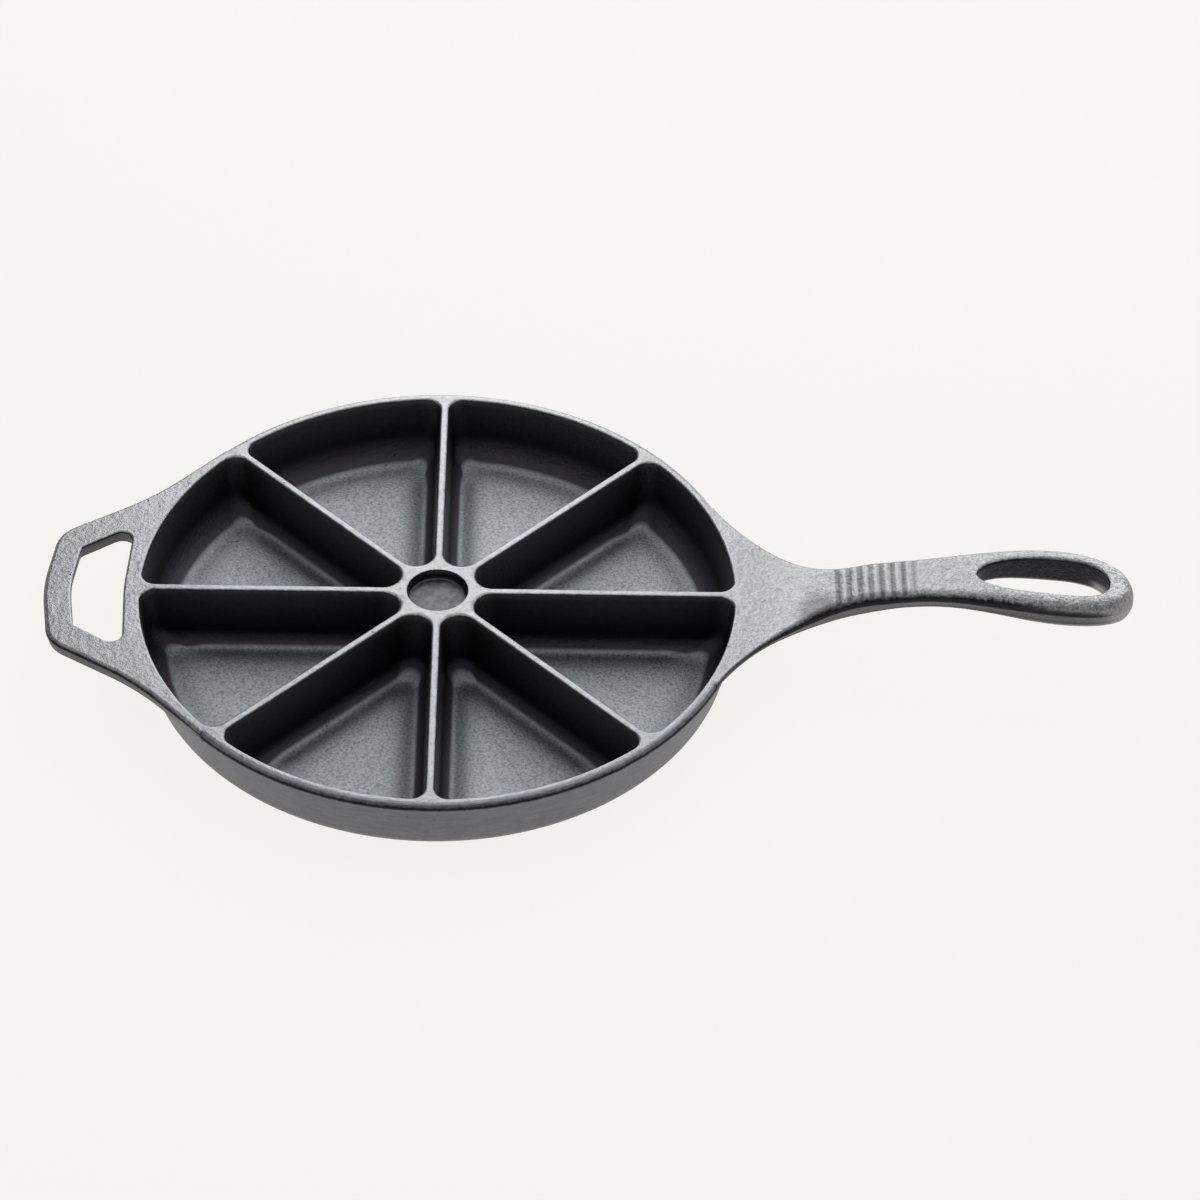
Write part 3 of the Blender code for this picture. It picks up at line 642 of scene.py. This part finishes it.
# where a bounding box lists its lowest and its highest corner
lowest, highest = 0, 6
handles = sorted(bpy.context.selected_objects, key=lambda handle: handle.bound_box[highest][0])
for handle in handles:
    reach = [round(handle.bound_box[corner][0], 4) for corner in (lowest, highest)]
    print("handle parted, its reach along x:", reach)
helperPiece, longPiece = handles[0], handles[-1]
helperPiece.name = "helper_handle_casting"
longPiece.name = "long_handle_casting"

shading = {"smoothUnder": math.radians(42), "faceWeight": 60}


def shadeCasting(piece):
    # round stretches shaded smooth, flat ones kept flat
    only(piece)
    bpy.ops.object.shade_smooth_by_angle(angle=shading["smoothUnder"])
    weights = piece.modifiers.new("Weighted normals", "WEIGHTED_NORMAL")
    weights.keep_sharp = True
    weights.weight = shading["faceWeight"]
    bpy.ops.object.modifier_apply(modifier=weights.name)


for piece in (skilletPan, longPiece, helperPiece):
    shadeCasting(piece)
    print(piece.name, len(piece.data.polygons), "faces")


class Wire:
    # a socket of a finish, with arithmetic that adds its Math nodes
    def __init__(self, finish, socket):
        self.finish = finish
        self.socket = socket

    def __add__(self, other):
        return self.finish.maths("ADD", self, other)

    def __radd__(self, other):
        return self.finish.maths("ADD", other, self)

    def __sub__(self, other):
        return self.finish.maths("SUBTRACT", self, other)

    def __rsub__(self, other):
        return self.finish.maths("SUBTRACT", other, self)

    def __mul__(self, other):
        return self.finish.maths("MULTIPLY", self, other)

    def __rmul__(self, other):
        return self.finish.maths("MULTIPLY", other, self)


class Finish:
    # a material and the one way its nodes are made
    def __init__(self, name):
        self.material = bpy.data.materials.new(name)
        self.material.use_nodes = True
        self.tree = self.material.node_tree
        self.tree.nodes.clear()

    def node(self, kind, settings=None, sockets=None, output=0):
        made = self.tree.nodes.new(kind)
        for key, value in (settings or {}).items():
            setattr(made, key, value)
        for key, value in (sockets or {}).items():
            if isinstance(value, Wire):
                self.tree.links.new(value.socket, made.inputs[key])
            else:
                made.inputs[key].default_value = value
        return Wire(self, made.outputs[output]) if made.outputs else None

    def maths(self, operation, first, second):
        return self.node("ShaderNodeMath", {"operation": operation}, {0: first, 1: second})

    def vector(self, operation, first, second, output="Vector"):
        return self.node("ShaderNodeVectorMath", {"operation": operation}, {0: first, 1: second}, output)

    def between(self, value, low, high):
        # 0 below low, 1 above high, with a soft step between
        sockets = {"Value": value, "From Min": low, "From Max": high}
        return self.node("ShaderNodeMapRange", {"interpolation_type": "SMOOTHSTEP"}, sockets)

    def mix(self, factor, first, second):
        return self.node("ShaderNodeMix", {"data_type": "RGBA"}, {0: factor, 6: first, 7: second}, output=2)


# sand-cast iron: tops painted pale and sides painted dark by which way they face, partly wear and partly
# painted light, fine grain and small pits;
# grain, fine, lumps, waves and streaks are noises, each with its size, its detail and its roughness
# the wall, outer, side and shaded colours are painted shade; the foot, tip, loop and floor colours are
# painted light
iron = {
    "topColour": (0.288, 0.292, 0.304, 1.0), "crestColour": (0.290, 0.294, 0.306, 1.0),
    "loopLitColour": (0.395, 0.398, 0.408, 1.0), "floorLitColour": (0.500, 0.527, 0.560, 1.0),
    "footColour": (0.072, 0.068, 0.084, 1.0), "recessColour": (0.098, 0.097, 0.103, 1.0),
    "wallTopColour": (0.096, 0.095, 0.102, 1.0), "wallColour": (0.024, 0.021, 0.031, 1.0),
    "outerColour": (0.186, 0.184, 0.202, 1.0), "handleSideColour": (0.120, 0.116, 0.126, 1.0),
    "tipLitColour": (0.350, 0.347, 0.356, 1.0), "shadedColour": (0.024, 0.023, 0.028, 1.0),
    "dirtAndShadeColour": (0.030, 0.030, 0.033, 1.0), "roughness": 0.41, "roughnessSpread": 0.10,
    "grain": (0.0011, 3.0, 0.6), "fine": (0.0012, 5.0, 0.75), "lumps": (0.0032, 1.0, 0.5),
    "waves": (0.0180, 2.0, 0.5), "streaks": (0.0012, 2.0, 0.5), "streakStretch": 0.16,
    "noiseMiddle": 0.5, "grainUnevenness": 0.30, "lumpUnevenness": 0.20, "grainDepth": 0.00021,
    "fineDepth": 0.00052, "lumpDepth": 0.00022, "lumpsOnFloor": 0.3, "waveDepth": 0.00034,
    "wavesOnFloor": 0.4, "pitDepth": 0.00020, "pitSpacing": 0.0060,
}


def surfaceReadings(finish):
    # where on the casting a point lies and which way it faces
    place = finish.node("ShaderNodeTexCoord", output="Object")
    facing = finish.node("ShaderNodeTexCoord", output="Normal")
    level = finish.vector("MULTIPLY", place, (1.0, 1.0, 0.0))
    fromAxis = finish.node("ShaderNodeVectorMath", {"operation": "LENGTH"}, {0: level}, output="Value")
    return {
        "place": place, "facing": facing, "fromAxis": fromAxis,
        "x": finish.node("ShaderNodeSeparateXYZ", None, {0: place}, output="X"),
        "height": finish.node("ShaderNodeSeparateXYZ", None, {0: place}, output="Z"),
        "sideways": finish.node("ShaderNodeSeparateXYZ", None, {0: facing}, output="Y"),
        "upward": finish.node("ShaderNodeSeparateXYZ", None, {0: facing}, output="Z"),
    }


# in all these tones a pair is the reading where one sets in and the reading where it is full
panTones = {
    "wallLight": (0.006, 0.027), "lightUnevenness": 0.8, "foot": (0.14, 0.50), "leaning": (-0.14, -0.04),
    "outside": (0.1186, 0.1190), "lipEdge": (-0.04, 0.16), "streaked": (0.40, 0.62), "streakShare": 0.16,
    "rim": (0.1120, 0.1160), "rimSheen": 0.20, "outsideSheen": 0.12, "wornAndLit": (0.70, 0.92),
}


def panSides(finish, spot):
    # pocket walls are painted with shade that deepens downwards, and their feet with painted light
    light = finish.between(spot["height"], *panTones["wallLight"])
    light = light * (1 + panTones["lightUnevenness"] * spot["unevenness"])
    wall = finish.mix(light, iron["wallColour"], iron["wallTopColour"])
    wall = finish.mix(finish.between(spot["upward"], *panTones["foot"]), wall, iron["footColour"])
    # the outer wall leans in downwards, and the lip over it has a painted shadow along its edge
    leaning = 1 - finish.between(spot["upward"], *panTones["leaning"])
    outside = finish.maths("MAXIMUM", finish.between(spot["fromAxis"], *panTones["outside"]), leaning)
    streaks = finish.between(spot["streaks"], *panTones["streaked"])
    outer = finish.mix(panTones["streakShare"] * streaks, iron["outerColour"], iron["dirtAndShadeColour"])
    outer = finish.mix(finish.between(spot["border"], *panTones["lipEdge"]), outer, iron["shadedColour"])
    # a painted highlight carries the pale top tone far down the rim's edges, and less far down the dividers
    rim = finish.between(spot["fromAxis"], *panTones["rim"])
    border = spot["border"] + panTones["rimSheen"] * rim + panTones["outsideSheen"] * outside
    return finish.mix(outside, wall, outer), finish.between(border, *panTones["wornAndLit"])


handleTones = {
    "sideFacing": (0.10, 0.60), "longHandle": (0.0, 0.05), "longEdge": (-0.30, -0.08),
    "helperEdge": (-0.04, 0.20), "holeWall": (0.0005, 0.0030), "holeStart": (0.204, 0.210),
    "holeEdge": (-0.34, -0.06), "holeHeight": (0.0288, 0.0322), "besideTip": (0.68, 0.98),
    "tip": (0.225, 0.246), "farSide": (0.20, 0.60), "farSheen": 0.20, "wornAndLit": (0.53, 0.75),
    "shadePatchPlace": (0.1500, -0.0110, 0.0330), "shadePatch": (0.0040, 0.0120), "shadePatchUnevenness": 0.016,
    "shadePatchShare": 0.70,
}


def handleSides(finish, spot):
    # painted shade darkens the sides just under their upper edges, and the wall of the hanging hole
    sideFacing = spot["sideways"] * spot["sideways"]
    onLong = finish.between(spot["x"], *handleTones["longHandle"])
    shade = finish.between(sideFacing, *handleTones["sideFacing"]) * onLong
    shade = shade * finish.between(spot["border"], *handleTones["longEdge"])
    shade = shade + (1 - onLong) * finish.between(spot["border"], *handleTones["helperEdge"])
    middle = (handleTip - longHandle["holeEndWall"] - longHandle["holeLength"] / 2, 0.0, 0.0)
    fromMiddle = finish.vector("SUBTRACT", spot["place"], middle)
    outward = finish.vector("DOT_PRODUCT", fromMiddle, spot["facing"], output="Value")
    hole = finish.between(0 - outward, *handleTones["holeWall"])
    hole = hole * finish.between(spot["x"], *handleTones["holeStart"])
    hole = hole * finish.between(spot["border"], *handleTones["holeEdge"])
    hole = hole * finish.between(spot["height"], *handleTones["holeHeight"])
    # the end of the loop is painted lighter on its side, a painted light
    endwards = 1 - finish.between(sideFacing, *handleTones["besideTip"])
    tip = endwards * finish.between(spot["x"], *handleTones["tip"])
    sides = finish.mix(tip, iron["handleSideColour"], iron["tipLitColour"])
    # a painted highlight carries the pale top tone further round the edges that face away from the cook
    far = finish.between(spot["sideways"], *handleTones["farSide"])
    wornAndLit = finish.between(spot["border"] + handleTones["farSheen"] * far, *handleTones["wornAndLit"])
    # a painted shade patch darkens the top where the flare runs into the neck
    fromShadePatch = finish.vector("DISTANCE", spot["place"], handleTones["shadePatchPlace"], output="Value")
    fromShadePatch = fromShadePatch + handleTones["shadePatchUnevenness"] * spot["unevenness"]
    inShadePatch = 1 - finish.between(fromShadePatch, *handleTones["shadePatch"])
    wornAndLit = wornAndLit * (1 - handleTones["shadePatchShare"] * inShadePatch)
    shade = finish.maths("MAXIMUM", shade * (1 - tip), hole)
    return finish.mix(shade, sides, iron["shadedColour"]), wornAndLit


# first, last and faint are in pitches from the middle of the first groove
grooveTones = {
    "first": (-0.6, -0.4), "last": (longHandle["grooves"] - 0.6, longHandle["grooves"] - 0.4),
    "faint": (longHandle["grooves"] - 1.7, longHandle["grooves"] - 1.4), "faintness": 0.5,
    "deep": (-0.6, 0.9), "upward": (0.45, 0.85),
}


def troughs(finish, spot):
    # dark seasoning in the grooves of the grip together with their painted shade, faintest in the last
    turns = (spot["x"] - firstGroove) * (1 / longHandle["groovePitch"])
    ripple = finish.node("ShaderNodeMath", {"operation": "COSINE"}, {0: turns * (2 * math.pi)})
    grooved = finish.between(turns, *grooveTones["first"])
    grooved = grooved * (1 - finish.between(turns, *grooveTones["last"]))
    grooved = grooved * (1 - grooveTones["faintness"] * finish.between(turns, *grooveTones["faint"]))
    deep = finish.between(ripple, *grooveTones["deep"]) * grooved
    return deep * finish.between(spot["upward"], *grooveTones["upward"])


# the tones that pan and handles share
tones = {
    "pit": (0.04, 0.12), "pitted": (0.50, 0.62), "high": (0.0262, 0.0285), "byWall": (0.090, 0.100),
    "levelFrom": 0.79, "levelFromByWall": 0.10, "levelFull": 0.985, "recess": (0.0140, 0.0150),
    "recessHeight": (0.020, 0.022), "panEdge": (0.119, 0.123), "moatFacing": (0.5, 0.9),
    "moatByWall": 0.6, "flare": (0.110, 0.130), "loop": (0.170, 0.240), "grain": (0.30, 0.62),
    "fine": (0.36, 0.60), "topLumps": (0.30, 0.60), "recessLumps": (0.35, 0.65),
}
coarseness = {"pan": 0.9, "flare": 0.4, "loop": 1.1}
# shares of dirt and of painted shade: the moat's share is painted shade, and the grooves' share is partly
# painted shade
dirtAndShadeShares = {
    "pits": 0.5, "topGrain": 0.19, "lowGrain": 0.12, "topLumps": 0.12, "speckles": 0.46,
    "specklesInMoat": 0.7, "moat": 0.64, "recess": 0.45, "grooves": 0.55,
}


def sandReadings(finish, place):
    # what the mould's sand left at a point: noises of several sizes, streaks and pits
    def noise(where, size, detail, roughness):
        sockets = {"Vector": where, "Scale": 1 / size, "Detail": detail, "Roughness": roughness}
        return finish.node("ShaderNodeTexNoise", None, sockets)

    sand = {kind: noise(place, *iron[kind]) for kind in ("grain", "fine", "lumps", "waves")}
    stretched = finish.vector("MULTIPLY", place, (iron["streakStretch"], iron["streakStretch"], 1.0))
    sand["streaks"] = noise(stretched, *iron["streaks"])
    cells = finish.node(
        "ShaderNodeTexVoronoi", {"feature": "F1"},
        {"Vector": place, "Scale": 1 / iron["pitSpacing"], "Randomness": 1.0},
    )
    pits = 1 - finish.between(cells, *tones["pit"])
    sand["pits"] = pits * finish.between(sand["waves"], *tones["pitted"])
    uneven = iron["grainUnevenness"] * (sand["grain"] - iron["noiseMiddle"])
    sand["unevenness"] = uneven + iron["lumpUnevenness"] * (sand["lumps"] - iron["noiseMiddle"])
    return sand


def regionReadings(finish, spot):
    # how far a point belongs to the tops, the level faces, the recess, the floors and their moats
    high = finish.between(spot["height"], *tones["high"])
    byWall = finish.between(spot["fromAxis"], *tones["byWall"])
    levelFrom = tones["levelFrom"] + tones["levelFromByWall"] * byWall
    recess = 1 - finish.between(spot["fromAxis"], *tones["recess"])
    recess = recess * finish.between(spot["height"], *tones["recessHeight"]) * (1 - high)
    low = (1 - high) * (1 - recess)
    # the moat runs round each pocket's floor; its painted shade is faintest along the outer wall
    moat = 1 - finish.between(spot["height"], pan["floor"] - pockets["moatDepth"], pan["floor"])
    moat = low * moat * finish.between(spot["upward"], *tones["moatFacing"])
    # the long handle's sand was coarser, most of all at its end
    onFlare = finish.between(spot["x"], *tones["flare"])
    onLoop = finish.between(spot["x"], *tones["loop"])
    return {
        "high": high, "low": low, "recess": recess, "onLoop": onLoop,
        "level": finish.between(spot["upward"], levelFrom, tones["levelFull"]),
        "moat": moat * (1 - tones["moatByWall"] * byWall),
        "coarser": coarseness["pan"] + coarseness["flare"] * onFlare + coarseness["loop"] * onLoop,
    }


def flatsColour(finish, spot):
    # the tones of what faces up: handles, pan, loop, floors and recess; the loop's paler tone is painted
    # light
    onPan = 1 - finish.between(spot["fromAxis"], *tones["panEdge"])
    flats = finish.mix(onPan, iron["topColour"], iron["crestColour"])
    flats = finish.mix(spot["onLoop"], flats, iron["loopLitColour"])
    # painted light: the floors are given a paler tone than the tops
    flats = finish.mix(spot["high"], iron["floorLitColour"], flats)
    return finish.mix(spot["recess"], flats, iron["recessColour"])


def dirtAndShadeShare(finish, spot):
    # dirt in the pits and in the hollows of grain and lumps, painted shade in the moats, and seasoning with
    # painted shade in the grooves
    high, low, moat = spot["high"], spot["low"], spot["moat"]
    hollows = 1 - finish.between(spot["grain"], *tones["grain"])
    speckles = 1 - finish.between(spot["fine"], *tones["fine"])
    topLumps = 1 - finish.between(spot["lumps"], *tones["topLumps"])
    recessLumps = 1 - finish.between(spot["lumps"], *tones["recessLumps"])
    specklesLeft = 1 - dirtAndShadeShares["specklesInMoat"] * moat
    return (
        dirtAndShadeShares["pits"] * spot["pits"]
        + (dirtAndShadeShares["topGrain"] * high * spot["coarser"] + dirtAndShadeShares["lowGrain"] * low) * hollows
        + dirtAndShadeShares["topLumps"] * high * topLumps
        + dirtAndShadeShares["speckles"] * low * spot["level"] * speckles * specklesLeft
        # painted shade in the moats along the walls' feet
        + dirtAndShadeShares["moat"] * moat
        + dirtAndShadeShares["recess"] * spot["recess"] * recessLumps
        + dirtAndShadeShares["grooves"] * high * troughs(finish, spot)
    )


def reliefOf(spot):
    # height of the grain, lumps and waves over the smooth casting, less its pits
    high, low = spot["high"], spot["low"]
    lumpy = high + iron["lumpsOnFloor"] * low + spot["recess"]
    wavy = high + iron["wavesOnFloor"] * low
    return (
        iron["grainDepth"] * spot["coarser"] * spot["grain"]
        + iron["fineDepth"] * low * spot["fine"]
        + iron["lumpDepth"] * spot["coarser"] * lumpy * (spot["lumps"] - iron["noiseMiddle"])
        + iron["waveDepth"] * wavy * (spot["waves"] - iron["noiseMiddle"])
        - iron["pitDepth"] * spot["pits"]
    )


def ironFinish(name, sidesOf):
    finish = Finish(name)
    spot = surfaceReadings(finish)
    spot.update(sandReadings(finish, spot["place"]))
    spot.update(regionReadings(finish, spot))
    # borders between the pale tops and the dark sides, partly wear and partly painted light, are as uneven
    # as the sand
    spot["border"] = spot["upward"] + spot["unevenness"]
    sides, wornAndLit = sidesOf(finish, spot)
    # wear and painted light: faces turned up take the pale flats tone, faces turned aside take the dark
    # sides tone
    tops = spot["level"] + spot["high"] * (wornAndLit - spot["level"])
    colour = finish.mix(tops, sides, flatsColour(finish, spot))
    colour = finish.mix(dirtAndShadeShare(finish, spot), colour, iron["dirtAndShadeColour"])
    sockets = {"Strength": 1.0, "Distance": 1.0, "Height": reliefOf(spot)}
    bump = finish.node("ShaderNodeBump", None, sockets, output="Normal")
    smoothest = iron["roughness"] - iron["roughnessSpread"] / 2
    roughness = smoothest + iron["roughnessSpread"] * spot["waves"]
    sockets = {"Base Color": colour, "Metallic": 1.0, "Roughness": roughness, "Normal": bump}
    shader = finish.node("ShaderNodeBsdfPrincipled", None, sockets)
    finish.node("ShaderNodeOutputMaterial", None, {"Surface": shader})
    return finish.material


panIron = ironFinish("pan_cast_iron", panSides)
handleIron = ironFinish("handle_cast_iron", handleSides)
for piece, castIron in ((skilletPan, panIron), (longPiece, handleIron), (helperPiece, handleIron)):
    piece.data.materials.clear()
    piece.data.materials.append(castIron)
    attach(piece, "root")
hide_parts("helper_handle")
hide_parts("long_handle_root", "long_handle_grip", "hanging_loop")
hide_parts("pan_floor", "hub")
for number in range(1, pockets["count"] + 1):
    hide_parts(f"divider_{number}", f"side_wall_{number}", f"rim_{number}")
print("iron finish on")


# table and backdrop in one: a disc whose edge sweeps up into a low wall
studio = {
    "radius": 6.0, "sweep": 0.8, "wall": 1.0, "drop": 0.0002, "turnSteps": 128, "sweepSteps": 10,
    "smoothUnder": math.radians(40), "colour": (0.922, 0.914, 0.880, 1.0), "evenness": 0.95,
    "world": (0.050, 0.050, 0.055, 1.0),
}


def studioFloor():
    bpy.ops.object.select_all(action="DESELECT")
    bpy.ops.mesh.primitive_circle_add(
        vertices=studio["turnSteps"], radius=studio["radius"], fill_type="NGON",
    )
    table = bpy.context.active_object
    table.name = "studio_floor"
    sweep = studio["sweep"]
    profile = arcPoints((studio["radius"], sweep), sweep, -math.pi / 2, 0.0, studio["sweepSteps"])
    profile.append((studio["radius"] + sweep, sweep + studio["wall"]))
    bpy.ops.object.mode_set(mode="EDIT")
    bpy.ops.mesh.select_all(action="SELECT")
    bpy.ops.mesh.region_to_loop()
    drawUp(profile, bpy.ops.mesh.extrude_edges_move)
    bpy.ops.mesh.select_all(action="SELECT")
    bpy.ops.transform.translate(value=(0, 0, -studio["drop"]))
    bpy.ops.mesh.normals_make_consistent(inside=True)
    bpy.ops.object.mode_set(mode="OBJECT")
    bpy.ops.object.shade_smooth_by_angle(angle=studio["smoothUnder"])
    return table


def floorFinish():
    # the camera and the iron's reflections see an almost evenly bright table, other rays a matt one
    finish = Finish("pale_table")
    matt = finish.node("ShaderNodeBsdfDiffuse", None, {"Color": studio["colour"]})
    even = finish.node("ShaderNodeEmission", None, {"Color": studio["colour"], "Strength": 1.0})
    camera = finish.node("ShaderNodeLightPath", output="Is Camera Ray")
    glossy = finish.node("ShaderNodeLightPath", output="Is Glossy Ray")
    through = finish.node("ShaderNodeLightPath", output="Is Transmission Ray")
    seen = finish.node("ShaderNodeClamp", None, {0: camera + glossy + through})
    sockets = {0: studio["evenness"] * seen, 1: matt, 2: even}
    surface = finish.node("ShaderNodeMixShader", None, sockets)
    finish.node("ShaderNodeOutputMaterial", None, {"Surface": surface})
    return finish.material


table = studioFloor()
table.data.materials.append(floorFinish())

scene = bpy.context.scene
scene.view_settings.view_transform = "Standard"
world = bpy.data.worlds.new("dim_studio")
scene.world = world
world.use_nodes = True
world.node_tree.nodes["Background"].inputs["Color"].default_value = studio["world"]

# the lamps face the table's x axis at this height over the table
aimHeight = 0.02
softboxes = {
    "back_softbox": {"place": (-0.01, 0.610, 0.440), "width": 0.40, "depth": 0.76, "brightness": 3.5},
    "handle_softbox": {"place": (0.60, 0.610, 0.400), "width": 0.52, "depth": 0.80, "brightness": 2.8},
    "overhead_softbox": {"place": (0.05, -0.05, 1.30), "width": 2.60, "depth": 1.20, "brightness": 1.05},
}


def softbox(name, place, width, depth, brightness):
    # brightness is the panel's own radiance
    bpy.ops.object.select_all(action="DESELECT")
    bpy.ops.object.light_add(type="AREA", location=place)
    lamp = bpy.context.active_object
    lamp.name = name
    fromAim = Vector(place) - Vector((place[0], 0.0, aimHeight))
    lamp.rotation_euler = fromAim.to_track_quat("Z", "Y").to_euler()
    lamp.data.shape = "RECTANGLE"
    lamp.data.size = width
    lamp.data.size_y = depth
    lamp.data.energy = brightness * math.pi * width * depth
    lamp.visible_camera = False


for name, settings in softboxes.items():
    softbox(name, **settings)
print("studio lit")

# the photograph's view
lens = {
    "azimuth": -0.750, "elevation": 42.181, "roll": 1.315, "focal": 147.77, "sensor": 36.0,
    "target": (0.06435, -0.00458, 0.0290), "distance": 1.9467, "clipEnd": 50.0,
}
azimuth, elevation = math.radians(lens["azimuth"]), math.radians(lens["elevation"])
backward = Vector((
    math.sin(azimuth) * math.cos(elevation), -math.cos(azimuth) * math.cos(elevation), math.sin(elevation),
))
bpy.ops.object.select_all(action="DESELECT")
bpy.ops.object.camera_add()
camera = bpy.context.active_object
camera.matrix_world = Matrix.Translation(Vector(lens["target"]) + backward * lens["distance"]) @ (
    Matrix.Rotation(azimuth, 4, "Z")
    @ Matrix.Rotation(math.pi / 2 - elevation, 4, "X")
    @ Matrix.Rotation(math.radians(lens["roll"]), 4, "Z")
)
camera.data.lens = lens["focal"]
camera.data.sensor_width = lens["sensor"]
camera.data.clip_end = lens["clipEnd"]
scene.camera = camera
print("camera set")
